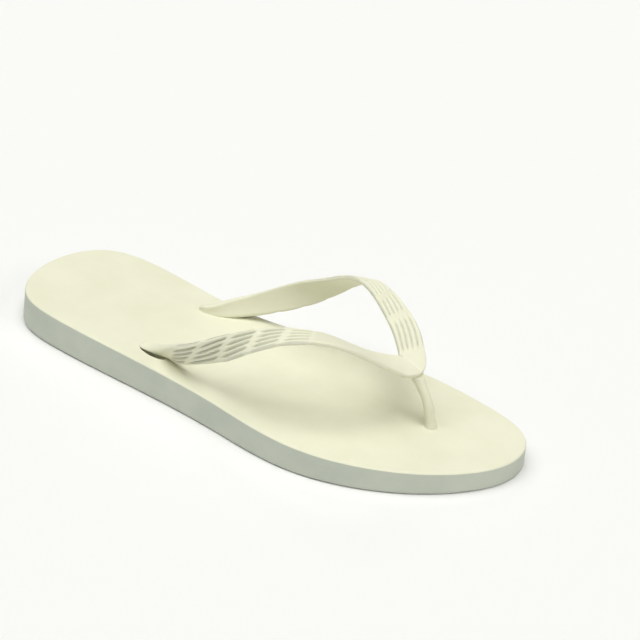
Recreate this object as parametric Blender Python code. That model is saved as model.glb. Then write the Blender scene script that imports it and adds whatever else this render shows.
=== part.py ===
"""Right-foot rubber flip flop: a two-layer sole, a thong strap and its three plugs.

Metres, +Z up. The sole stands on Z = 0 and the toe points to +X, so +Y is the big-toe side.
The origin is the middle of the sole's outline, on the ground.
The sole bends at the ball of the foot, so both layers are made in a rear and a front piece.
"""

import math

import bmesh
import bpy
import numpy as np
from mathutils import Vector

# ---------------------------------------------------------------- driving dimensions
MM = 0.001
GAP = 0.3 * MM                    # clearance left between neighbouring pieces
WELD = 0.01 * MM                  # points closer than this become one

SOLE_LENGTH = 264 * MM
HEEL_HEIGHT = 16.2 * MM           # sole thickness at the back of the heel
TOE_DROP = 6.0 * MM               # how much thinner the sole is at the tip of the toe
FOOTBED_LAYER = 5.0 * MM          # thickness of the smooth top layer
FLEX_X = 174 * MM                 # where the sole bends, measured from the back of the heel
TOP_ROUND = 0.8 * MM              # rounding of the footbed's rim
GROUND_ROUND = 1.6 * MM           # rounding of the outsole's rim
END_FLAT = 0.35 * MM              # the lofted sole stops this far short of the outline's two ends
STATIONS = 46                     # sections along the whole sole
OUTLINE_STEPS = 360               # points read from the outline's curve

# Outline of the sole in millimetres, from the back of the heel, (length, side), + is the big-toe side.
OUTLINE = [
    (0, 1.5), (12, 34), (47.5, 38.5), (97, 33.5), (144, 40.5), (187, 48), (227, 46.5), (258, 34.5),
    (264, 15), (254.5, -10.5), (227.5, -36.5), (186.5, -51.5), (138.5, -47), (87, -42),
    (41.5, -38.5), (14.5, -30.5),
]
OUTLINE_MIDDLE = (132, -1.7)      # the point of the outline that becomes the origin

# Strap holes, (length, side) in millimetres.
TOE_HOLE = (220.7, 10.5)
LATERAL_HOLE = (88.8, -30.0)
MEDIAL_HOLE = (86.8, 20.9)

REAR_STEM_RADIUS = 2.8 * MM
TOE_STEM_RADIUS = 2.7 * MM
REAR_DISC_RADIUS = 6.8 * MM
TOE_DISC_RADIUS = 7.6 * MM
DISC_HEIGHT = 2.2 * MM
DISC_LIFT = 0.6 * MM              # how far a plug's face is sunk above the ground
STEM_FILLET = 1.0 * MM            # fillet between a plug's disc and its stem
DISC_EDGE = 0.4 * MM              # chamfer round a plug's disc
CUT_PAST = 5 * MM                 # how far a hole's cutter runs past the sole

# Strap arms in millimetres: length, side, height over the footbed, band width, band thickness,
# and the band's lean in degrees: 0 stands on edge, 90 lies flat, below 0 leans outwards.
MEDIAL_ARM = [
    (80.5, 19.3, 0.6, 3.5, 5.6, -4), (86.4, 20.5, 0.9, 5.9, 6.8, -10), (93.3, 23.8, 3.0, 8.6, 6.0, -18),
    (102.5, 29.9, 6.4, 10.2, 4.2, -20), (122.3, 35.7, 17.4, 12.4, 2.8, -8), (143, 37.9, 31, 12.2, 2.6, 39),
    (163, 35.9, 41.7, 11.9, 2.6, 72), (181.5, 30.2, 37.7, 12.7, 2.6, 88), (196.4, 21.2, 32.5, 12.9, 2.7, 92),
    (207.6, 12.2, 23.6, 12.6, 2.8, 83),
]
LATERAL_ARM = [
    (82.6, -29.7, 1.2, 4.1, 6.0, -6), (89.8, -30.2, 3.3, 6.9, 7.4, -14), (98.2, -32.1, 6.1, 8.9, 6.2, -24),
    (108.5, -36.0, 8.5, 10.5, 4.2, -27), (127.6, -39.6, 19.1, 11.8, 2.8, -11), (145.8, -41.1, 31.4, 12.3, 2.6, 40),
    (164.7, -34.3, 40.8, 12.1, 2.6, 80), (182.4, -20.8, 40.3, 11.9, 2.6, 96), (195.6, -3.6, 30.4, 11.7, 2.7, 90),
    (207.6, 12.2, 23.6, 12.8, 2.8, 62),
]
ARM_SHARE = 0.87                  # share of each path that is the arm; the rest is the yoke
YOKE_STEP = 0.0024                # share of the path left open between arm and yoke
ARM_SECTIONS = 32
YOKE_SECTIONS = 9
# Section of the band: shares of its half width and of its half thickness.
BAND_SECTION = [
    (1.0, 0.35), (0.9, 0.85), (0.6, 1.0), (0.0, 1.0), (-0.6, 1.0), (-0.9, 0.85), (-1.0, 0.35),
    (-1.0, -0.35), (-0.9, -0.85), (-0.6, -1.0), (0.0, -1.0), (0.6, -1.0), (0.9, -0.85), (1.0, -0.35),
]
NOSE = (205.8, 12.1, 25.3)        # middle of the rounded nose: length, side, height over the footbed
NOSE_RADIUS = 6.4 * MM
NOSE_HALF_THICKNESS = 1.4 * MM
NOSE_PITCH = 22                   # degrees that the nose points down

# Toe post: (length, side, height over the footbed, radius) in millimetres.
TOE_POST = [
    (220.6, 10.5, 0.3, 3.1), (220.4, 10.5, 1.4, 2.7), (220.0, 10.5, 3.0, 2.45), (218.1, 10.8, 9.0, 2.3),
    (216.6, 11.1, 12.0, 2.25), (214.5, 11.4, 15.0, 2.3), (212.7, 11.6, 17.2, 2.45), (210.9, 11.8, 19.3, 2.7),
    (209.4, 11.9, 21.4, 2.9), (208.8, 12.0, 22.8, 2.9),
]

RUBBER_IVORY = (0.86, 0.85, 0.70, 1.0)
RUBBER_SOLE = (0.62, 0.64, 0.52, 1.0)
RUBBER_POST = (0.72, 0.71, 0.54, 1.0)
RUBBER_ROUGHNESS = 0.55


# ---------------------------------------------------------------- curves and heights
def spline(rows, closed=False, measured=3):
    """Cubic spline through rows of numbers, along the length of their first `measured` columns.

    Returns (length, f): f(s) gives the row and its rate of change at each distance s.
    """
    p = np.array(rows, float)
    if closed:
        p = np.vstack([p, p[:1]])
    step = np.linalg.norm(np.diff(p[:, :measured], axis=0), axis=1)
    knots = np.concatenate([[0.0], np.cumsum(step)])
    n = len(p)
    system = np.zeros((n, n))
    right = np.zeros_like(p)
    slope = np.diff(p, axis=0) / step[:, None]
    for i in range(1, n - 1):
        system[i, i - 1:i + 2] = step[i], 2 * (step[i - 1] + step[i]), step[i - 1]
        right[i] = 3 * (step[i] * slope[i - 1] + step[i - 1] * slope[i])
    if closed:
        system[0, 0], system[0, -1] = 1, -1
        system[-1, [0, 1, -2]] = 2 * (step[0] + step[-1]), step[-1], step[0]
        right[-1] = 3 * (step[0] * slope[-1] + step[-1] * slope[0])
    else:
        system[0, :2] = 2, 1
        system[-1, -2:] = 1, 2
        right[0], right[-1] = 3 * slope[0], 3 * slope[-1]
    tangent = np.linalg.solve(system, right)

    def evaluate(s):
        i = int(np.clip(np.searchsorted(knots, s, side="right") - 1, 0, n - 2))
        t = (s - knots[i]) / step[i]
        start, end = p[i], p[i + 1]
        leave, arrive = tangent[i] * step[i], tangent[i + 1] * step[i]
        square = 3 * (end - start) - 2 * leave - arrive
        cube = 2 * (start - end) + leave + arrive
        row = start + leave * t + square * t**2 + cube * t**3
        rate = (leave + 2 * square * t + 3 * cube * t**2) / step[i]
        return row, rate

    return knots[-1], evaluate


def place(length, side):
    """Sole position in metres, from millimetres along and across the sole."""
    return (length - OUTLINE_MIDDLE[0]) * MM, (side - OUTLINE_MIDDLE[1]) * MM


def top_z(x):
    """Height of the footbed's surface at X."""
    share = (x + OUTLINE_MIDDLE[0] * MM) / SOLE_LENGTH
    return HEEL_HEIGHT - TOE_DROP * share**2


def outline_sides(x, curve):
    """The outline's two edges at X, little-toe side first."""
    crossings = []
    for a, b in zip(curve, np.roll(curve, -1, axis=0)):
        if (a[0] - x) * (b[0] - x) <= 0 and a[0] != b[0]:
            crossings.append(a[1] + (x - a[0]) / (b[0] - a[0]) * (b[1] - a[1]))
    return min(crossings), max(crossings)


# ---------------------------------------------------------------- mesh helpers
def make_object(name, mesh_data, colour):
    """Turn a bmesh into a named object with its own material."""
    bmesh.ops.recalc_face_normals(mesh_data, faces=mesh_data.faces[:])
    mesh = bpy.data.meshes.new(name)
    mesh_data.to_mesh(mesh)
    mesh_data.free()
    material = bpy.data.materials.new(name + "_rubber")
    material.use_nodes = True
    shader = material.node_tree.nodes["Principled BSDF"]
    shader.inputs["Base Color"].default_value = colour
    shader.inputs["Roughness"].default_value = RUBBER_ROUGHNESS
    shader.inputs["Metallic"].default_value = 0.0
    mesh.materials.append(material)
    obj = bpy.data.objects.new(name, mesh)
    bpy.context.scene.collection.objects.link(obj)
    return obj


def smooth(obj, angle=40):
    """Shade round surfaces smooth and keep real corners sharp."""
    obj.data.shade_smooth()
    obj.data.set_sharp_from_angle(angle=math.radians(angle))


def loft(rings):
    """Closed mesh through rings of equally many points, with flat ends."""
    mesh_data = bmesh.new()
    rows = [[mesh_data.verts.new(point) for point in ring] for ring in rings]
    count = len(rows[0])
    for lower, upper in zip(rows, rows[1:]):
        for i in range(count):
            j = (i + 1) % count
            mesh_data.faces.new((lower[i], lower[j], upper[j], upper[i]))
    mesh_data.faces.new(rows[0])
    mesh_data.faces.new(rows[-1])
    return mesh_data


def turned(profile, sides=40):
    """Closed solid of revolution about Z from (radius, height) points that start and end on the axis."""
    mesh_data = bmesh.new()
    corners = [mesh_data.verts.new((radius, 0, height)) for radius, height in profile]
    edges = [mesh_data.edges.new(pair) for pair in zip(corners, corners[1:])]
    bmesh.ops.spin(
        mesh_data, geom=corners + edges, cent=(0, 0, 0), axis=(0, 0, 1), angle=math.tau, steps=sides,
    )
    bmesh.ops.remove_doubles(mesh_data, verts=mesh_data.verts[:], dist=WELD)
    return mesh_data


def cutter(name, mesh_data):
    """A hidden object that cuts other pieces."""
    obj = make_object(name, mesh_data, RUBBER_SOLE)
    obj.hide_render = True
    obj.display_type = "WIRE"
    return obj


def boolean(obj, other, operation="DIFFERENCE"):
    modifier = obj.modifiers.new(other.name, "BOOLEAN")
    modifier.object = other
    modifier.operation = operation
    modifier.solver = "EXACT"


# ---------------------------------------------------------------- sole
def sole_stations(start, end):
    """X stations from start to end, closer together where the outline turns round the toe or heel."""
    reach = SOLE_LENGTH / 2 - END_FLAT
    spread = [-math.cos(math.pi * i / STATIONS) * reach for i in range(STATIONS + 1)]
    inner = [x for x in spread if start + 1 * MM < x < end - 1 * MM]
    return [max(start, -reach)] + inner + [min(end, reach)]


def rounded_corner(radius, level, direction):
    """(inset, height) points of a rim that turns from the side wall onto the face at this level."""
    if not radius:
        return [(0.0, level)]
    cut = 0.3 * radius
    return [(0.0, level + direction * radius), (cut, level + direction * cut), (radius, level)]


def sole_layer(name, curve, start, end, low, high, low_round, high_round, colour):
    """One piece of a sole layer, lofted along the sole from sections with rounded rims."""
    rings = []
    for x in sole_stations(start, end):
        lateral, medial = outline_sides(x, curve)
        wall = rounded_corner(low_round, low(x), 1)[::-1] + rounded_corner(high_round, high(x), -1)
        lateral_wall = [(x, lateral + inset, z) for inset, z in wall]
        medial_wall = [(x, medial - inset, z) for inset, z in reversed(wall)]
        rings.append(lateral_wall + medial_wall)
    return make_object(name, loft(rings), colour)


def hole_cutter(name, hole, stem_radius, disc_radius):
    """Through-hole for a stem with the recess that takes its disc."""
    x, y = place(*hole)
    recess_top = DISC_LIFT + DISC_HEIGHT + GAP
    bore = stem_radius + GAP
    wide = disc_radius + GAP
    profile = [
        (0, -CUT_PAST), (wide, -CUT_PAST), (wide, recess_top), (bore + STEM_FILLET, recess_top),
        (bore, recess_top + STEM_FILLET), (bore, HEEL_HEIGHT + CUT_PAST), (0, HEEL_HEIGHT + CUT_PAST),
    ]
    obj = cutter(name, turned(profile))
    obj.location = (x, y, 0)
    return obj


def plug(name, hole, stem_radius, disc_radius, top, colour):
    """A strap's anchor: a round disc under the sole and the stem through it."""
    x, y = place(*hole)
    disc_top = DISC_LIFT + DISC_HEIGHT
    profile = [
        (0, DISC_LIFT), (disc_radius - DISC_EDGE, DISC_LIFT), (disc_radius, DISC_LIFT + DISC_EDGE),
        (disc_radius, disc_top - DISC_EDGE), (disc_radius - DISC_EDGE, disc_top),
        (stem_radius + STEM_FILLET, disc_top), (stem_radius, disc_top + STEM_FILLET),
        (stem_radius, top), (0, top),
    ]
    obj = make_object(name, turned(profile), colour)
    obj.location = (x, y, 0)
    smooth(obj)
    return obj


def build_sole():
    length, along = spline(OUTLINE, closed=True, measured=2)
    curve = np.array([place(*along(length * i / OUTLINE_STEPS)[0]) for i in range(OUTLINE_STEPS)])
    half = SOLE_LENGTH / 2
    flex = place(FLEX_X / MM, 0)[0]

    def seam(x):
        return top_z(x) - FOOTBED_LAYER

    cutters = [
        hole_cutter("cut_toe_hole", TOE_HOLE, TOE_STEM_RADIUS, TOE_DISC_RADIUS),
        hole_cutter("cut_lateral_hole", LATERAL_HOLE, REAR_STEM_RADIUS, REAR_DISC_RADIUS),
        hole_cutter("cut_medial_hole", MEDIAL_HOLE, REAR_STEM_RADIUS, REAR_DISC_RADIUS),
    ]
    for end_name, start, end, holes in (
        ("rear", -half, flex - GAP / 2, cutters[1:]),
        ("front", flex + GAP / 2, half, cutters[:1]),
    ):
        footbed = sole_layer(
            "footbed_" + end_name, curve, start, end,
            lambda x: seam(x) + GAP / 2, top_z, 0, TOP_ROUND, RUBBER_IVORY,
        )
        outsole = sole_layer(
            "outsole_" + end_name, curve, start, end,
            lambda x: 0.0, lambda x: seam(x) - GAP / 2, GROUND_ROUND, 0, RUBBER_SOLE,
        )
        for layer in (footbed, outsole):
            for hole in holes:
                boolean(layer, hole)
            smooth(layer, 30)


# ---------------------------------------------------------------- strap
def strap_centre(row):
    """World position of a strap path's row."""
    x, y = place(row[0], row[1])
    return Vector((x, y, top_z(x) + row[2] * MM))


def band_rings(arm, inward, start, end, count):
    """Sections of a strap arm between two shares of its path.

    inward is +1 where the foot is on the arm's right, seen along the path, and -1 on its left.
    """
    length, along = spline(arm)
    rings = []
    for share in np.linspace(start, end, count):
        row, rate = along(share * length)
        centre = strap_centre(row)
        forward = Vector(rate[:3]).normalized()
        side = forward.cross(Vector((0, 0, 1))).normalized()
        lean = math.radians(row[5])
        across = side.cross(forward) * math.cos(lean) + side * (inward * math.sin(lean))
        face = across.cross(forward)
        across, face = across * (row[3] * MM / 2), face * (row[4] * MM / 2)
        rings.append([centre + across * a + face * b for a, b in BAND_SECTION])
    return rings


def tube_rings(path, grow=0.0, sides=24, count=18):
    """Round sections along a path of (length, side, height over the footbed, radius)."""
    length, along = spline(path)
    rings = []
    for i in range(count):
        row, rate = along(length * i / (count - 1))
        centre = strap_centre(row)
        forward = Vector(rate[:3]).normalized() if i else Vector((0, 0, 1))
        side = forward.cross(Vector((0, 1, 0))).normalized()
        other = side.cross(forward)
        radius = row[3] * MM + grow
        turns = [math.tau * k / sides for k in range(sides)]
        rings.append([centre + side * (radius * math.cos(a)) + other * (radius * math.sin(a)) for a in turns])
    return rings


def floor_cutter():
    """Block under the strap that trims it a gap above the footbed."""
    depth, side = 20 * MM, 70 * MM
    half = SOLE_LENGTH / 2
    rings = []
    for x in np.linspace(-half, half, STATIONS):
        level = top_z(x) + GAP
        corners = ((-side, level - depth), (side, level - depth), (side, level), (-side, level))
        rings.append([(x, y, z) for y, z in corners])
    return cutter("cut_footbed_face", loft(rings))


def nose_cutter():
    """Rounded disc, as thick as the band, that closes the V where the two arms meet."""
    profile = [(0, NOSE_HALF_THICKNESS)]
    profile += [(NOSE_RADIUS * r, NOSE_HALF_THICKNESS * h) for r, h in ((0.8, 1.0), (0.94, 0.8), (1.0, 0.3))]
    profile += [(radius, -height) for radius, height in reversed(profile)]
    obj = cutter("join_nose", turned(profile))
    obj.location = strap_centre(NOSE)
    obj.rotation_euler = (0, math.radians(NOSE_PITCH), 0)
    smooth(obj)
    return obj


def build_strap():
    footbed_face = floor_cutter()
    for name, arm, inward in (("strap_medial_arm", MEDIAL_ARM, 1), ("strap_lateral_arm", LATERAL_ARM, -1)):
        obj = make_object(name, loft(band_rings(arm, inward, 0.0, ARM_SHARE, ARM_SECTIONS)), RUBBER_IVORY)
        boolean(obj, footbed_face)
        smooth(obj, 50)

    yoke_start = ARM_SHARE + YOKE_STEP
    medial_side, lateral_side = (
        loft(band_rings(arm, inward, yoke_start, 1.0, YOKE_SECTIONS))
        for arm, inward in ((MEDIAL_ARM, 1), (LATERAL_ARM, -1))
    )
    yoke = make_object("strap_yoke", medial_side, RUBBER_IVORY)
    lateral_join = cutter("join_lateral_side", lateral_side)
    smooth(lateral_join, 50)
    boolean(yoke, lateral_join, "UNION")
    boolean(yoke, nose_cutter(), "UNION")
    boolean(yoke, cutter("cut_post_socket", loft(tube_rings(TOE_POST, grow=GAP))))
    smooth(yoke, 50)

    post = make_object("toe_post", loft(tube_rings(TOE_POST)), RUBBER_POST)
    smooth(post, 50)


def build_plugs():
    for name, hole, stem, disc in (
        ("toe_plug", TOE_HOLE, TOE_STEM_RADIUS, TOE_DISC_RADIUS),
        ("lateral_plug", LATERAL_HOLE, REAR_STEM_RADIUS, REAR_DISC_RADIUS),
        ("medial_plug", MEDIAL_HOLE, REAR_STEM_RADIUS, REAR_DISC_RADIUS),
    ):
        x, _ = place(*hole)
        plug(name, hole, stem, disc, top_z(x) - GAP / 2, RUBBER_SOLE)


def main():
    for obj in list(bpy.data.objects):
        bpy.data.objects.remove(obj)
    build_sole()
    build_strap()
    build_plugs()


main()
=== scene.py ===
"""Looks of a right-foot rubber flip flop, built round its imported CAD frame.

Metres, +Z up, toe towards +X, big-toe side +Y, origin on the ground under the middle of the sole.
"""
import math

import bmesh
import bpy
import numpy as np
from mathutils import Matrix, Vector


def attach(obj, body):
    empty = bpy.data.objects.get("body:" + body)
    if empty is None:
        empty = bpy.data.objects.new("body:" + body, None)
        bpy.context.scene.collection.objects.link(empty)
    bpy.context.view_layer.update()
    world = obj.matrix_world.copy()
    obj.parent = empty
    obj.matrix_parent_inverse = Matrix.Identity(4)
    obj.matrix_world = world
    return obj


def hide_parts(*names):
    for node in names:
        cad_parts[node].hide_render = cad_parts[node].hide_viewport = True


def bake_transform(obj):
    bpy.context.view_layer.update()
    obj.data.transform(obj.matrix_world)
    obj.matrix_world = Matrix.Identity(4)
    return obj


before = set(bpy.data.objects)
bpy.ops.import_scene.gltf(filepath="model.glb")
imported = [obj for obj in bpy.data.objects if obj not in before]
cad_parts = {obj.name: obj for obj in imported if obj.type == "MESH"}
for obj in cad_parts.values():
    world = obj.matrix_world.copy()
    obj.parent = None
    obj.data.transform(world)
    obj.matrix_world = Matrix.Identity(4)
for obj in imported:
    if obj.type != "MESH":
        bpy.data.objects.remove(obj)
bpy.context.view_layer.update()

# ---------------------------------------------------------------- dimensions
MM = 0.001
SOLE_LENGTH = 264 * MM
HEEL_HEIGHT = 16.2 * MM
TOE_DROP = 6.0 * MM
FOOTBED_LAYER = 5.0 * MM

# Outline of the sole, millimetres from the back of the heel and to the big-toe side.
# These points, the holes, the strap's arms and nose, the toe post, the scales' limits, the camera and the
# first version of the lights are values from fits, and weren't drawn by hand.
OUTLINE = [
    (0, 1.5), (12, 34), (47.5, 38.5), (97, 33.5), (144, 40.5), (187, 48), (227, 46.5), (258, 34.5),
    (264, 15), (254.5, -10.5), (227.5, -36.5), (186.5, -51.5), (138.5, -47), (87, -42),
    (41.5, -38.5), (14.5, -30.5),
]
OUTLINE_MIDDLE = (132, -1.7)
OUTLINE_POINTS = 520
SLICE = 3 * MM                    # spacing of the cuts across the sole's two faces

TOE_HOLE = (220.7, 10.5)
LATERAL_HOLE = (88.8, -30.0)
MEDIAL_HOLE = (86.8, 20.9)
PLUGS = {                         # node: hole, stem radius, disc radius, body
    "toe_plug": (TOE_HOLE, 2.7 * MM, 7.6 * MM, "forefoot"),
    "lateral_plug": (LATERAL_HOLE, 2.8 * MM, 6.8 * MM, "rear"),
    "medial_plug": (MEDIAL_HOLE, 2.8 * MM, 6.8 * MM, "rear"),
}
STEM_END = {                      # where a plug's stem ends, over the footbed
    "toe_plug": 1.0 * MM,
    "lateral_plug": -6.5 * MM,
    "medial_plug": 1.0 * MM,
}
MOUTH_PLACE = (91.0, -30.9)       # long mouth of the lateral hole in the footbed
MOUTH_SIZE = (8.0, 3.05)          # half length and half width, millimetres
MOUTH_TURN = -0.11
MOUTH_LOW = 5 * MM                # the mouth's cutter starts here, under the footbed layer
DISC_LIFT = 0.6 * MM
DISC_HEIGHT = 2.2 * MM
DISC_GAP = 0.45 * MM
STEM_GAP = 0.3 * MM
TOOL_LOW = -5 * MM                # cutters start below the sole
TOOL_HIGH = 30 * MM               # and end above it
TOOL_TURN = 0.0217                # radians; a slight turn of the holes' cutters
SHARP_ANGLE = 35                  # degrees; flatter edges are shaded smooth

# Tread: nested rhombi, their long diagonal across the sole.
RHOMB_ALONG = 6.5 * MM            # half of the short diagonal
RHOMB_ACROSS = 10.0 * MM          # half of the long diagonal
TREAD_DEPTH = 0.7 * MM
RIDGES = (6.5 * MM, 3.45 * MM, 0.4 * MM)   # ridge lines, measured along the short diagonal
RIDGE_TOP = 0.32 * MM
RIDGE_FOOT = 0.9 * MM
TREAD_HALF_WIDTH = 58 * MM        # the pattern reaches past the sole's edge
TREAD_CLEAR = -0.3 * MM           # the tread's cutter stays this far under a ridge
TREAD_TOOL_LOW = -4 * MM

# Strap arms: length, side, height over the footbed, width, thickness in millimetres, lean in degrees.
MEDIAL_ARM = [
    (80.5, 19.3, 0.6, 3.5, 5.6, -4), (86.4, 20.5, 0.9, 5.9, 6.8, -10), (93.3, 23.8, 3.0, 8.6, 6.0, -18),
    (102.5, 29.9, 6.4, 10.2, 4.2, -20), (122.3, 35.7, 17.4, 12.4, 2.8, -8), (143, 37.9, 31, 12.2, 2.6, 39),
    (163, 35.9, 41.7, 11.9, 2.6, 72), (181.5, 30.2, 37.7, 12.7, 2.6, 88), (196.4, 21.2, 32.5, 12.9, 2.7, 92),
    (207.6, 12.2, 23.6, 12.6, 2.8, 83),
]
LATERAL_ARM = [
    (81.8, -28.9, 0.3, 1.5, 4.8, -16), (89.2, -28.8, 0.9, 2.8, 6.0, -22), (98.8, -30.6, 3.9, 6.0, 5.4, -28),
    (108.5, -36.0, 8.5, 10.5, 4.2, -27), (127.6, -39.6, 19.1, 11.8, 2.8, -11),
    (145.8, -41.1, 31.4, 12.3, 2.6, 40), (164.7, -34.3, 40.8, 12.1, 2.6, 80),
    (182.4, -20.8, 40.3, 11.9, 2.6, 96), (195.6, -3.6, 30.4, 11.7, 2.7, 90),
    (207.6, 12.2, 23.6, 12.8, 2.8, 62),
]
NOSE_LENGTH = 6.7 * MM            # the two arms merge this far before their paths meet
NOSE_ROUND = 0.47                 # how far the nose's outer edge runs on, as a share of its width
CROTCH_ROUND = 0.72               # the same for the inner edge
NOSE_STEPS = 44                   # sections round the nose
CREASE = 0.25 * MM                # depth of the faint crease where the arms meet
# Where one ribbed scale ends and the next begins, in millimetres: distance from the root along the
# middle of the arm, and how far ahead of that the boundary's upper end is.
MEDIAL_SCALES = (
    (30.4, 6.0), (43.4, 5.0), (56.4, 4.0), (69.4, 3.0), (82.4, 2.3), (95.4, 2.0), (108.2, 2.0), (121.3, 2.0),
    (144.0, 1.4),
)
LATERAL_SCALES = ((25.0, 8.0), (42.0, 11.0), (64.0, 6.5), (82.0, 3.2), (96.5, 2.2), (110.0, 2.0))
RIBS = 5
MEDIAL_GROOVE = (0.85 * MM, 0.9)  # depth of a groove, and how wide it is for its spacing
LATERAL_GROOVE = (1.15 * MM, 1.5)
GROOVE_TURN = 0.5                 # how many groove spacings a groove climbs along its scale
SCALE_RISE = 0.22 * MM
SCALE_BULGE = 0.45 * MM           # how far a scale's side stands out past the notch between two

TOE_POST = [                      # length, side, height over the footbed, radius
    (220.7, 10.5, -0.4, 3.25), (220.65, 10.5, 0.35, 3.05), (220.4, 10.5, 1.4, 2.7), (220.0, 10.5, 3.0, 2.45),
    (219.2, 10.6, 6.0, 2.35), (218.1, 10.8, 9.0, 2.3), (216.6, 11.1, 12.0, 2.25), (214.5, 11.4, 15.0, 2.3),
    (212.7, 11.6, 17.2, 2.45), (210.9, 11.8, 19.3, 2.75), (209.4, 11.9, 21.4, 3.15), (208.8, 12.0, 24.2, 3.4),
]
NOSE_PLANE = (-0.41, 0.12)        # rise of the nose per metre along X and along Y
POST_BELOW = 0.3 * MM             # the post's top ends this far under the middle of the nose
POST_STEPS = 56                   # sections along the post

IVORY = (0.795, 0.79, 0.62)
IVORY_SHADE = (0.755, 0.75, 0.575)
# Painted shade: the ivory rubber made darker and greener for the sole's sides, its underside and the plugs;
# the second tone is its cloudy variation.
IVORY_PAINTED_SHADE = (0.575, 0.61, 0.52)
IVORY_PAINTED_SHADE_DARK = (0.52, 0.56, 0.475)
GROOVE_PAINTED_SHADE = (0.56, 0.57, 0.46)  # painted shade at the bottom of the strap's grooves


# ---------------------------------------------------------------- curves
def spline(rows, closed=False, measured=3):
    """Cubic spline through rows, along the length of their first columns: (length, f(s) -> row, rate)."""
    p = np.array(rows, float)
    if closed:
        p = np.vstack([p, p[:1]])
    step = np.linalg.norm(np.diff(p[:, :measured], axis=0), axis=1)
    knots = np.concatenate([[0.0], np.cumsum(step)])
    n = len(p)
    system = np.zeros((n, n))
    right = np.zeros_like(p)
    slope = np.diff(p, axis=0) / step[:, None]
    for i in range(1, n - 1):
        system[i, i - 1:i + 2] = step[i], 2 * (step[i - 1] + step[i]), step[i - 1]
        right[i] = 3 * (step[i] * slope[i - 1] + step[i - 1] * slope[i])
    if closed:
        system[0, 0], system[0, -1] = 1, -1
        system[-1, [0, 1, -2]] = 2 * (step[0] + step[-1]), step[-1], step[0]
        right[-1] = 3 * (step[0] * slope[-1] + step[-1] * slope[0])
    else:
        system[0, :2] = 2, 1
        system[-1, -2:] = 1, 2
        right[0], right[-1] = 3 * slope[0], 3 * slope[-1]
    tangent = np.linalg.solve(system, right)

    def evaluate(s):
        i = int(np.clip(np.searchsorted(knots, s, side="right") - 1, 0, n - 2))
        t = (s - knots[i]) / step[i]
        start, end = p[i], p[i + 1]
        leave, arrive = tangent[i] * step[i], tangent[i + 1] * step[i]
        square = 3 * (end - start) - 2 * leave - arrive
        cube = 2 * (start - end) + leave + arrive
        row = start + leave * t + square * t**2 + cube * t**3
        rate = (leave + 2 * square * t + 3 * cube * t**2) / step[i]
        return row, rate

    return knots[-1], evaluate


def place(length, side):
    return (length - OUTLINE_MIDDLE[0]) * MM, (side - OUTLINE_MIDDLE[1]) * MM


def top_z(x):
    """Height of the footbed at X."""
    share = (x + SOLE_LENGTH / 2) / SOLE_LENGTH
    return HEEL_HEIGHT - TOE_DROP * share**2


def strap_point(row):
    x, y = place(row[0], row[1])
    return np.array([x, y, top_z(x) + row[2] * MM])


def unit(vector):
    return vector / np.linalg.norm(vector)


def smoothstep(low, high, value):
    t = np.clip((value - low) / (high - low), 0, 1)
    return t * t * (3 - 2 * t)


# ---------------------------------------------------------------- objects
def finish_mesh(name, data, material, angle=SHARP_ANGLE):
    """Turn a bmesh into an object with smooth round surfaces and sharp corners."""
    bmesh.ops.recalc_face_normals(data, faces=data.faces[:])
    mesh = bpy.data.meshes.new(name)
    data.to_mesh(mesh)
    data.free()
    mesh.shade_smooth()
    mesh.set_sharp_from_angle(angle=math.radians(angle))
    if material:
        mesh.materials.append(material)
    obj = bpy.data.objects.new(name, mesh)
    bpy.context.scene.collection.objects.link(obj)
    return obj


def skin(rings, closed_ring=True, caps=True):
    """Faces through rings of equally many points."""
    data = bmesh.new()
    rows = [[data.verts.new(point) for point in ring] for ring in rings]
    count = len(rows[0])
    for lower, upper in zip(rows, rows[1:]):
        for i in range(count if closed_ring else count - 1):
            j = (i + 1) % count
            data.faces.new((lower[i], lower[j], upper[j], upper[i]))
    if caps:
        data.faces.new(rows[0])
        data.faces.new(rows[-1])
    return data


def turned(profile, sides=72):
    """Solid of revolution about Z."""
    data = bmesh.new()
    corners = [data.verts.new((radius, 0, height)) for radius, height in profile]
    edges = [data.edges.new(pair) for pair in zip(corners, corners[1:])]
    bmesh.ops.spin(data, geom=corners + edges, cent=(0, 0, 0), axis=(0, 0, 1), angle=math.tau, steps=sides)
    bmesh.ops.remove_doubles(data, verts=data.verts[:], dist=1e-6)
    return data


def carve(obj, cutter):
    """Cut another object out of obj."""
    modifier = obj.modifiers.new("cut", "BOOLEAN")
    modifier.object, modifier.operation, modifier.solver = cutter, "DIFFERENCE", "EXACT"
    graph = bpy.context.evaluated_depsgraph_get()
    mesh = bpy.data.meshes.new_from_object(obj.evaluated_get(graph))
    obj.modifiers.clear()
    obj.data = mesh
    mesh.name = obj.name


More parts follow.
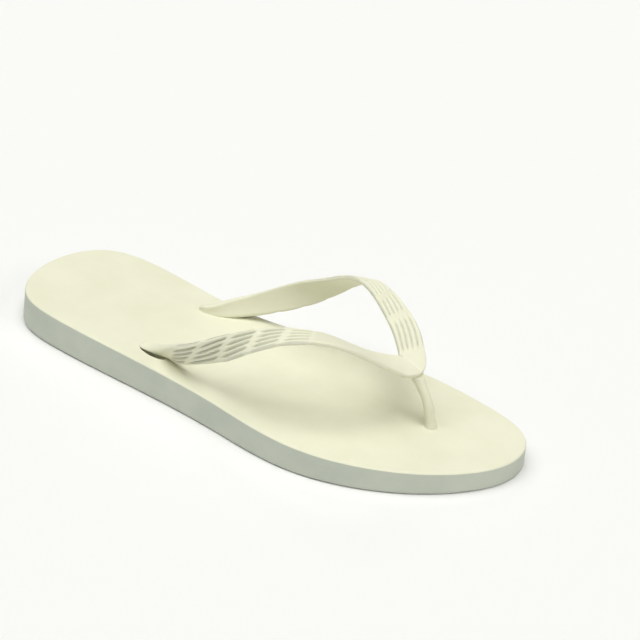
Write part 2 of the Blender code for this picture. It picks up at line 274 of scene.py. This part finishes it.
# ---------------------------------------------------------------- materials
def rubber(name, light, shade, roughness, grain_size, grain_height, pores=0.0, grooves=False):
    """Matte rubber: cloudy colour, fine grain, uneven gloss and, if asked for, open pores; also, if asked
    for, painted shade at the bottom of the grooves.
    """
    material = bpy.data.materials.new(name)
    material.use_nodes = True
    tree = material.node_tree
    shader = tree.nodes["Principled BSDF"]
    coords = tree.nodes.new("ShaderNodeTexCoord")

    def noise(scale, detail, rough):
        node = tree.nodes.new("ShaderNodeTexNoise")
        node.inputs["Scale"].default_value = scale
        node.inputs["Detail"].default_value = detail
        node.inputs["Roughness"].default_value = rough
        tree.links.new(coords.outputs["Object"], node.inputs["Vector"])
        return node.outputs["Fac"]

    def remap(value, low, high, new_low, new_high):
        node = tree.nodes.new("ShaderNodeMapRange")
        for key, number in zip(("From Min", "From Max", "To Min", "To Max"), (low, high, new_low, new_high)):
            node.inputs[key].default_value = number
        tree.links.new(value, node.inputs["Value"])
        return node.outputs["Result"]

    cloud = remap(noise(38, 5, 0.6), 0.35, 0.68, 0, 1)
    mix = tree.nodes.new("ShaderNodeMix")
    mix.data_type = "RGBA"
    mix.inputs[6].default_value = (*light, 1)
    mix.inputs[7].default_value = (*shade, 1)
    tree.links.new(cloud, mix.inputs["Factor"])
    colour = mix.outputs[2]
    # Painted shade: the colour is darkened at the bottom of the grooves, by the groove depth stored on each
    # point.
    if grooves:
        depth = tree.nodes.new("ShaderNodeAttribute")
        depth.attribute_name = "groove"
        groove_shade_mix = tree.nodes.new("ShaderNodeMix")
        groove_shade_mix.data_type = "RGBA"
        groove_shade_mix.inputs[7].default_value = (*GROOVE_PAINTED_SHADE, 1)
        tree.links.new(remap(depth.outputs["Fac"], 0.05, 0.95, 0, 0.9), groove_shade_mix.inputs["Factor"])
        tree.links.new(colour, groove_shade_mix.inputs[6])
        colour = groove_shade_mix.outputs[2]
    tree.links.new(colour, shader.inputs["Base Color"])

    tree.links.new(remap(noise(210, 3, 0.55), 0.3, 0.7, roughness - 0.06, roughness + 0.06),
                   shader.inputs["Roughness"])
    grain = noise(1 / grain_size, 4, 0.65)
    bump = tree.nodes.new("ShaderNodeBump")
    bump.inputs["Distance"].default_value = grain_height
    bump.inputs["Strength"].default_value = 1.0
    tree.links.new(grain, bump.inputs["Height"])
    if pores:
        cells = tree.nodes.new("ShaderNodeTexVoronoi")
        cells.inputs["Scale"].default_value = 900
        tree.links.new(coords.outputs["Object"], cells.inputs["Vector"])
        pits = tree.nodes.new("ShaderNodeBump")
        pits.inputs["Distance"].default_value = pores
        tree.links.new(remap(cells.outputs["Distance"], 0.05, 0.35, 0, 1), pits.inputs["Height"])
        tree.links.new(bump.outputs["Normal"], pits.inputs["Normal"])
        bump = pits
    tree.links.new(bump.outputs["Normal"], shader.inputs["Normal"])
    shader.inputs["Specular IOR Level"].default_value = 0.35
    return material


footbed_rubber = rubber("footbed_rubber", IVORY, IVORY_SHADE, 0.62, 0.55 * MM, 0.05 * MM)
# Painted shade: the outsole and the sole's sides are the ivory rubber made darker and greener.
sole_painted_shade_rubber = rubber("sole_painted_shade_rubber", IVORY_PAINTED_SHADE, IVORY_PAINTED_SHADE_DARK, 0.66, 0.5 * MM, 0.07 * MM, pores=0.05 * MM)
strap_rubber = rubber("strap_rubber", IVORY, IVORY_SHADE, 0.48, 0.6 * MM, 0.025 * MM, grooves=True)
post_rubber = rubber("post_rubber", IVORY, IVORY_SHADE, 0.48, 0.6 * MM, 0.025 * MM)
# Painted shade: the plugs under the sole take the same darker, greener ivory.
plug_painted_shade_rubber = rubber("plug_painted_shade_rubber", IVORY_PAINTED_SHADE, IVORY_PAINTED_SHADE_DARK, 0.5, 0.6 * MM, 0.03 * MM)


# ---------------------------------------------------------------- sole
def outline_points():
    length, along = spline(OUTLINE, closed=True, measured=2)
    points = np.array([place(*along(length * i / OUTLINE_POINTS)[0]) for i in range(OUTLINE_POINTS)])
    run = np.roll(points, -1, axis=0) - np.roll(points, 1, axis=0)
    run /= np.linalg.norm(run, axis=1)[:, None]
    outward = np.stack([-run[:, 1], run[:, 0]], 1)
    if ((points - points.mean(0)) * outward).sum() < 0:
        outward = -outward
    return points, outward


def quarter(radius, z_edge, direction, steps=5):
    """(inset, z) points from the side wall onto the face at z_edge, round a quarter circle."""
    rows = []
    for k in range(steps + 1):
        a = math.pi / 2 * k / steps
        rows.append((radius * (1 - math.cos(a)), z_edge + direction * radius * (1 - math.sin(a))))
    return rows


def sole_block(name, profile, height_at, material):
    """Closed block with the sole's outline; profile holds (inset, z) rings from one face to the other."""
    points, outward = outline_points()
    rings = []
    for inset, z in profile:
        ring = points - outward * inset
        rings.append([(x, y, z) for x, y in ring])
    data = skin(rings)
    half = SOLE_LENGTH / 2
    for k in range(1, int(SOLE_LENGTH / SLICE)):
        bmesh.ops.bisect_plane(
            data, geom=data.verts[:] + data.edges[:] + data.faces[:], dist=1e-7,
            plane_co=(-half + k * SLICE, 0, 0), plane_no=(1, 0, 0),
        )
    for vert in data.verts:
        vert.co.z = height_at(vert.co.x, vert.co.z)
    return finish_mesh(name, data, material)


def hole_tool(hole, stem_radius, disc_radius):
    """Cuts the way for a plug through the whole sole."""
    wide = disc_radius + DISC_GAP
    top = DISC_LIFT + DISC_HEIGHT + STEM_GAP
    bore = stem_radius + STEM_GAP
    edge = 0.5 * MM
    profile = [
        (0, TOOL_LOW), (wide + edge, TOOL_LOW), (wide + edge, -0.01 * MM), (wide, edge), (wide, top),
        (bore, top), (bore, TOOL_HIGH), (0, TOOL_HIGH),
    ]
    tool = finish_mesh("hole_tool", turned(profile), None)
    tool.location = (*place(*hole), 0)
    tool.rotation_euler = (0, 0, TOOL_TURN)
    tool.hide_render = True
    return tool


def mouth_tool():
    """The long pulled-out mouth of the lateral hole, which shows as a dark slit beside the arm's root."""
    profile = [(0, MOUTH_LOW), (MM, MOUTH_LOW), (MM, TOOL_HIGH), (0, TOOL_HIGH)]
    tool = finish_mesh("mouth_tool", turned(profile, 64), None)
    tool.location = (*place(*MOUTH_PLACE), 0)
    tool.scale = (*MOUTH_SIZE, 1)
    tool.rotation_euler = (0, 0, MOUTH_TURN)
    tool.hide_render = True
    return tool


def tread_tool():
    """Everything between the tread's ridges, as one body that is cut out of the outsole."""
    levels = [(RHOMB_ALONG, TREAD_CLEAR)]
    for ridge in RIDGES:
        slopes = ((RIDGE_FOOT, True), (RIDGE_TOP, False), (-RIDGE_TOP, False), (-RIDGE_FOOT, True))
        for offset, deep in slopes:
            reach = ridge + offset
            if 0.05 * MM < reach < RHOMB_ALONG - 0.01 * MM:
                levels.append((reach, TREAD_DEPTH if deep else TREAD_CLEAR))
    data = bmesh.new()
    half_cells = int(SOLE_LENGTH / 2 / RHOMB_ALONG) + 3
    for i in range(-half_cells, half_cells + 1):
        for j in range(-half_cells, half_cells + 1):
            x0, y0 = RHOMB_ALONG * (i + j), RHOMB_ACROSS * (i - j)
            if abs(x0) > 0.5 * SOLE_LENGTH + RHOMB_ALONG or abs(y0) > TREAD_HALF_WIDTH:
                continue
            rings = []
            for reach, z in levels:
                share = reach / RHOMB_ALONG
                wide = RHOMB_ACROSS * share
                rings.append([data.verts.new(p) for p in (
                    (x0 + reach, y0, z), (x0, y0 + wide, z), (x0 - reach, y0, z), (x0, y0 - wide, z))])
            for outer, inner in zip(rings, rings[1:]):
                for k in range(4):
                    data.faces.new((outer[k], outer[(k + 1) % 4], inner[(k + 1) % 4], inner[k]))
            data.faces.new(rings[-1])
    bmesh.ops.remove_doubles(data, verts=data.verts[:], dist=1e-6)
    copy = bmesh.ops.extrude_face_region(data, geom=data.faces[:])
    for item in copy["geom"]:
        if isinstance(item, bmesh.types.BMVert):
            item.co.z = TREAD_TOOL_LOW
    tool = finish_mesh("tread_tool", data, None)
    tool.hide_render = True
    return tool


def build_sole():
    seam = HEEL_HEIGHT - FOOTBED_LAYER
    hair = 0.01 * MM
    footbed_profile = [(6 * MM, seam + hair), (0, seam + hair), (0, seam + 2 * MM)]
    footbed_profile += quarter(1.0 * MM, HEEL_HEIGHT, -1) + [(1.5 * MM, HEEL_HEIGHT), (4 * MM, HEEL_HEIGHT)]
    footbed = sole_block("footbed", footbed_profile, lambda x, z: z + top_z(x) - HEEL_HEIGHT, footbed_rubber)
    outsole_profile = [(4 * MM, 0), (2 * MM, 0)] + quarter(1.5 * MM, 0, 1)[::-1]
    outsole_profile += [(0, 4 * MM), (0, 8 * MM), (0, seam - hair), (6 * MM, seam - hair)]
    outsole = sole_block(
        "outsole", outsole_profile, lambda x, z: z * (top_z(x) - FOOTBED_LAYER) / seam, sole_painted_shade_rubber,
    )

    # The footbed's side faces take the outsole's darker, greener colour all the way up to its rim: painted
    # shade on the sole's sides.
    footbed.data.materials.append(sole_painted_shade_rubber)
    for face in footbed.data.polygons:
        face.material_index = int(face.normal.z < 0.4)

    holes = [hole_tool(hole, stem, disc) for hole, stem, disc, _ in PLUGS.values()]
    tread = tread_tool()
    for layer in (footbed, outsole):
        for hole in holes:
            carve(layer, hole)
    mouth = mouth_tool()
    carve(outsole, tread)
    carve(footbed, mouth)
    for tool in holes + [tread, mouth]:
        bpy.data.objects.remove(tool)

    for layer in (footbed, outsole):
        layer.data.shade_smooth()
        layer.data.set_sharp_from_angle(angle=math.radians(SHARP_ANGLE))

    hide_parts("footbed_rear", "footbed_front")
    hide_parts("outsole_rear", "outsole_front")
    for layer in (footbed, outsole):
        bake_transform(layer)


# ---------------------------------------------------------------- strap
def arm_frame(arm, inward):
    """Length of an arm in metres and a function giving its section at a distance from the root."""
    length, along = spline(arm)

    def section(s):
        row, rate = along(s / MM)
        centre = strap_point(row)
        forward = unit(rate[:3])
        side = unit(np.cross(forward, (0, 0, 1)))
        lean = math.radians(row[5])
        across = np.cross(side, forward) * math.cos(lean) + side * (inward * math.sin(lean))
        return centre, forward, across, inward * np.cross(across, forward), row[3] * MM, row[4] * MM

    return length * MM, section


def rib_relief(s, v, scales, groove_shape):
    """(height, widening, groove) of the ribbed scales, s from the root and a share v across the band."""
    limits = [(middle + slant * v) * MM for middle, slant in scales]
    index = int(np.searchsorted(limits, s)) - 1
    if index < 0 or index >= len(limits) - 1:
        return 0.0, 0.0, 0.0
    t = (s - limits[index]) / (limits[index + 1] - limits[index])
    hump = math.sin(math.pi * t) ** 0.55
    ends = smoothstep(0.0, 0.28, t) * (1 - smoothstep(0.82, 1.0, t))
    rib_depth, breadth = groove_shape
    phase = (0.5 + 0.5 * v) * RIBS - GROOVE_TURN * (t - 0.5) * (1 - v * v)
    groove = max(0.0, 1 - abs(math.sin(math.pi * phase)) ** breadth - 0.95 * (1 - ends))
    bulge = SCALE_BULGE * (hump - 0.5) * smoothstep(0.3, -0.6, v)
    return SCALE_RISE * (hump - 1) - rib_depth * groove, bulge, groove


OUTER_POINTS, INNER_POINTS = 66, 22
EDGE_POWER = 2.7                  # 2 would be an elliptic edge; more is squarer


def band_section(inner, outer, normal, thickness, relief):
    """Closed ring of points round the band between its two edges, and how deep in a groove each one is."""
    middle = (inner + outer) / 2
    across = (inner - outer) / 2
    half = np.linalg.norm(across)
    across /= half
    edge = min(0.8 * thickness / 2 / half, 0.95)
    ring, grooves = [], []

    def rounding(v):
        beyond = (abs(v) - (1 - edge)) / edge
        return max(0.0, 1 - beyond**EDGE_POWER) ** (1 / EDGE_POWER) if beyond > 0 else 1.0

    for k in range(OUTER_POINTS):
        v = -math.cos(math.pi * (k + 0.5) / OUTER_POINTS)
        lift, wide, groove = relief(v)
        height = thickness / 2 * (1 - 0.18 * v * v) * rounding(v) + lift * rounding(v)
        ring.append(middle + across * (half + wide) * v + normal * height)
        grooves.append(groove)
    for k in range(INNER_POINTS):
        v = math.cos(math.pi * (k + 0.5) / INNER_POINTS)
        wide = relief(v)[1]
        height = -thickness / 2 * (1 - 0.25 * (1 - v * v)) * rounding(v)
        ring.append(middle + across * (half + wide) * v + normal * height)
        grooves.append(0.0)
    return ring, grooves


def bezier(a, b, c, d, t):
    return a * (1 - t)**3 + 3 * b * t * (1 - t)**2 + 3 * c * t * t * (1 - t) + d * t**3


def arm_rings(arm, inward, scales, groove_shape, step=0.42 * MM):
    """Sections from the root to where the nose starts, and the last section's frame."""
    length, section = arm_frame(arm, inward)
    end = length - NOSE_LENGTH
    rings, grooves = [], []
    stations = np.concatenate([np.linspace(0, 3, 9)[:-1] ** 2 / 3 * MM, np.arange(3 * MM, end, step), [end]])
    for s in stations:
        centre, forward, across, normal, width, thickness = section(s)
        tip = math.sqrt(max(0.02, 1 - (1 - min(s / (3.2 * MM), 1.0))**2))
        width, thickness = width * tip, thickness * (0.4 + 0.6 * tip)

        def relief(v):
            return rib_relief(s, v, scales, groove_shape)

        half = across * width / 2
        ring, depth = band_section(centre + half, centre - half, normal, thickness, relief)
        for point in ring:
            point[2] = max(point[2], top_z(point[0]) + 0.02 * MM)
        rings.append(ring)
        grooves.append(depth)
    return rings, grooves, section(end)


def build_strap():
    lateral, lateral_grooves, end = arm_rings(LATERAL_ARM, -1, LATERAL_SCALES, LATERAL_GROOVE)
    lc, lf, la, ln, lw, lt = end
    medial, medial_grooves, end = arm_rings(MEDIAL_ARM, 1, MEDIAL_SCALES, MEDIAL_GROOVE)
    mc, mf, ma, mn, mw, _ = end
    inner_l, outer_l = lc + la * lw / 2, lc - la * lw / 2
    inner_m, outer_m = mc + ma * mw / 2, mc - ma * mw / 2
    reach = np.linalg.norm(outer_m - outer_l) * NOSE_ROUND
    notch = np.linalg.norm(inner_m - inner_l) * CROTCH_ROUND
    nose = []
    for k in range(1, NOSE_STEPS):
        t = k / NOSE_STEPS
        outer = bezier(outer_l, outer_l + lf * reach, outer_m + mf * reach, outer_m, t)
        inner = bezier(inner_l, inner_l + lf * notch, inner_m + mf * notch, inner_m, t)
        normal = unit(ln * (1 - t) + mn * t)
        across = unit(inner - outer)
        normal = unit(normal - across * normal.dot(across))
        crease = -CREASE * math.exp(-((t - 0.47) / 0.03)**2)

        def crease_relief(v):
            return crease * smoothstep(0.5, -0.2, v), 0.0, 0.0

        nose.append(band_section(inner, outer, normal, lt, crease_relief)[0])
    data = skin(lateral + nose + medial[::-1])
    strap = finish_mesh("strap", data, strap_rubber, 60)
    nose_grooves = [[0.0] * len(ring) for ring in nose]
    # Groove depth on each point of the strap, which drives the painted shade in its grooves.
    depth = np.array(lateral_grooves + nose_grooves + medial_grooves[::-1]).ravel()
    strap.data.attributes.new("groove", "FLOAT", "POINT").data.foreach_set("value", depth)
    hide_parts("strap_lateral_arm", "strap_medial_arm", "strap_yoke")
    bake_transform(strap)


def build_toe_post():
    length, along = spline(TOE_POST)
    nose = strap_point(LATERAL_ARM[-1])
    rise_x, rise_y = NOSE_PLANE
    rings = []
    for i in range(POST_STEPS):
        row, rate = along(length * i / (POST_STEPS - 1))
        centre = strap_point(row)
        forward = unit(rate[:3])
        side = unit(np.cross(forward, (0, 1, 0)))
        other = np.cross(side, forward)
        ring = []
        for a in np.linspace(0, math.tau, 48, endpoint=False):
            point = centre + row[3] * MM * (side * math.cos(a) + other * math.sin(a))
            lid = nose[2] - POST_BELOW + rise_x * (point[0] - nose[0]) + rise_y * (point[1] - nose[1])
            point[2] = min(point[2], lid)
            ring.append(point)
        rings.append(ring)
    post = finish_mesh("toe_post_moulding", skin(rings), post_rubber, 60)
    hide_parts("toe_post")
    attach(post, "forefoot")


def build_plugs():
    """Discs under the sole, each with a small raised moulding mark."""
    for node, (hole, stem, disc, body) in PLUGS.items():
        x, y = place(*hole)
        top = DISC_LIFT + DISC_HEIGHT
        dish = 0.12 * MM
        stem_top = top_z(x) + STEM_END[node]
        profile = [
            (0, DISC_LIFT + dish), (disc * 0.5, DISC_LIFT + dish * 0.7), (disc * 0.8, DISC_LIFT + 0.02 * MM),
        ]
        profile += [(disc - inset, z) for inset, z in quarter(0.5 * MM, DISC_LIFT, 1)[::-1]]
        profile += [
            (disc, top - 0.4 * MM), (disc - 0.4 * MM, top), (stem + 0.8 * MM, top), (stem, top + 0.8 * MM),
            (stem, stem_top), (0, stem_top),
        ]
        data = turned(profile)
        mark = 0.42 * disc
        turns = np.linspace(0, math.tau, 12, endpoint=False)
        rings = []
        for k in range(15):
            share = k / 7 - 1
            centre = np.array([mark * share, 0.12 * disc * (1 - share**2), DISC_LIFT + dish * 0.5])
            size = 0.5 * MM * math.sqrt(max(0.03, 1 - share**4))
            rings.append([centre + size * np.array([0, math.cos(a), 0.8 * math.sin(a)]) for a in turns])
        ridge = skin(rings)
        turn = Matrix.Rotation(math.radians(-35), 4, "Z")
        bmesh.ops.transform(ridge, matrix=turn, verts=ridge.verts[:])
        mesh = bpy.data.meshes.new("mark")
        ridge.to_mesh(mesh)
        ridge.free()
        data.from_mesh(mesh)
        bpy.data.meshes.remove(mesh)
        plug = finish_mesh(node + "_moulding", data, plug_painted_shade_rubber, 50)
        plug.location = (x, y, 0)
        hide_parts(node)
        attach(plug, body)


# ---------------------------------------------------------------- stage, lights and camera
FLOOR_HALF_SIZE = 6
WALL_RADIUS = 5.9
WALL_BOTTOM, WALL_TOP = -0.01, 0.8
DAYLIGHT = (1.0, 0.995, 0.975)
COOL = (0.80, 0.95, 1.0)
CAMERA_LENS = 200.5
CAMERA_PLACE = (0.8055, -1.2135, 0.8256)
CAMERA_RIGHT = (0.81072, 0.57785, 0.09394)
CAMERA_BACK = (0.47382, -0.7419, 0.47443)


def paper(name, tone, glow):
    """Plain matt paper that glows a little, so that it stays pale right to the horizon."""
    material = bpy.data.materials.new(name)
    material.use_nodes = True
    shader = material.node_tree.nodes["Principled BSDF"]
    shader.inputs["Base Color"].default_value = (tone, tone, 0.988 * tone, 1)
    shader.inputs["Emission Color"].default_value = (1, 1, 0.99, 1)
    shader.inputs["Emission Strength"].default_value = glow
    shader.inputs["Roughness"].default_value = 0.9
    shader.inputs["Specular IOR Level"].default_value = 0.1
    return material


def build_stage():
    """A pale floor and a low pale wall far round it, which is the horizon of the level views."""
    data = bmesh.new()
    bmesh.ops.create_grid(data, x_segments=1, y_segments=1, size=FLOOR_HALF_SIZE)
    floor = finish_mesh("floor", data, paper("floor_paper", 0.795, 0.06))
    floor.location.z = -0.2 * MM
    turns = np.linspace(0, math.tau, 96, endpoint=False)
    circle = [(WALL_RADIUS * math.cos(a), WALL_RADIUS * math.sin(a)) for a in turns]
    rings = [[(x, y, z) for x, y in circle] for z in (WALL_BOTTOM, WALL_TOP)]
    wall = finish_mesh("wall", skin(rings, caps=False), paper("wall_paper", 0.4, 0.55))


def soft_light(name, direction, spread, strength, colour):
    """Far, even light from a disc that looks spread degrees wide."""
    light = bpy.data.lights.new(name, "SUN")
    light.angle = math.radians(spread)
    light.energy = strength
    light.color = colour
    obj = bpy.data.objects.new(name, light)
    toward = Vector(direction).normalized()
    obj.location = toward
    obj.rotation_euler = toward.to_track_quat("Z", "Y").to_euler()
    bpy.context.scene.collection.objects.link(obj)


def build_lights():
    soft_light("overhead", (0, 0, 1), 44, 1.36, DAYLIGHT)
    soft_light("front_high", (0.33, -0.33, 0.88), 35, 0.95, DAYLIGHT)
    soft_light("toe_side", (0.82, 0, 0.57), 25, 0.54, DAYLIGHT)
    soft_light("heel_side", (-0.43, -0.28, 0.85), 35, 0.85, DAYLIGHT)
    soft_light("heel_low", (-0.58, -0.58, 0.52), 25, 0.14, COOL)
    soft_light("rear", (-0.66, 0.50, 0.56), 12, 0.24, DAYLIGHT)
    world = bpy.data.worlds.new("studio")
    world.use_nodes = True
    background = world.node_tree.nodes["Background"]
    background.inputs["Color"].default_value = (0.96, 0.985, 1.0, 1)
    background.inputs["Strength"].default_value = 0.03
    bpy.context.scene.world = world
    bpy.context.scene.view_settings.view_transform = "Standard"


def build_camera():
    data = bpy.data.cameras.new("camera")
    data.lens = CAMERA_LENS
    data.sensor_width = 36
    data.clip_start = 0.05
    data.clip_end = 20
    obj = bpy.data.objects.new("camera", data)
    right = Vector(CAMERA_RIGHT).normalized()
    back = Vector(CAMERA_BACK).normalized()
    up = back.cross(right)
    turn = Matrix((right, up, back)).transposed().to_4x4()
    obj.matrix_world = Matrix.Translation(CAMERA_PLACE) @ turn
    bpy.context.scene.collection.objects.link(obj)
    bpy.context.scene.camera = obj


build_camera()
build_sole()
build_strap()
build_toe_post()
build_plugs()
build_stage()
build_lights()
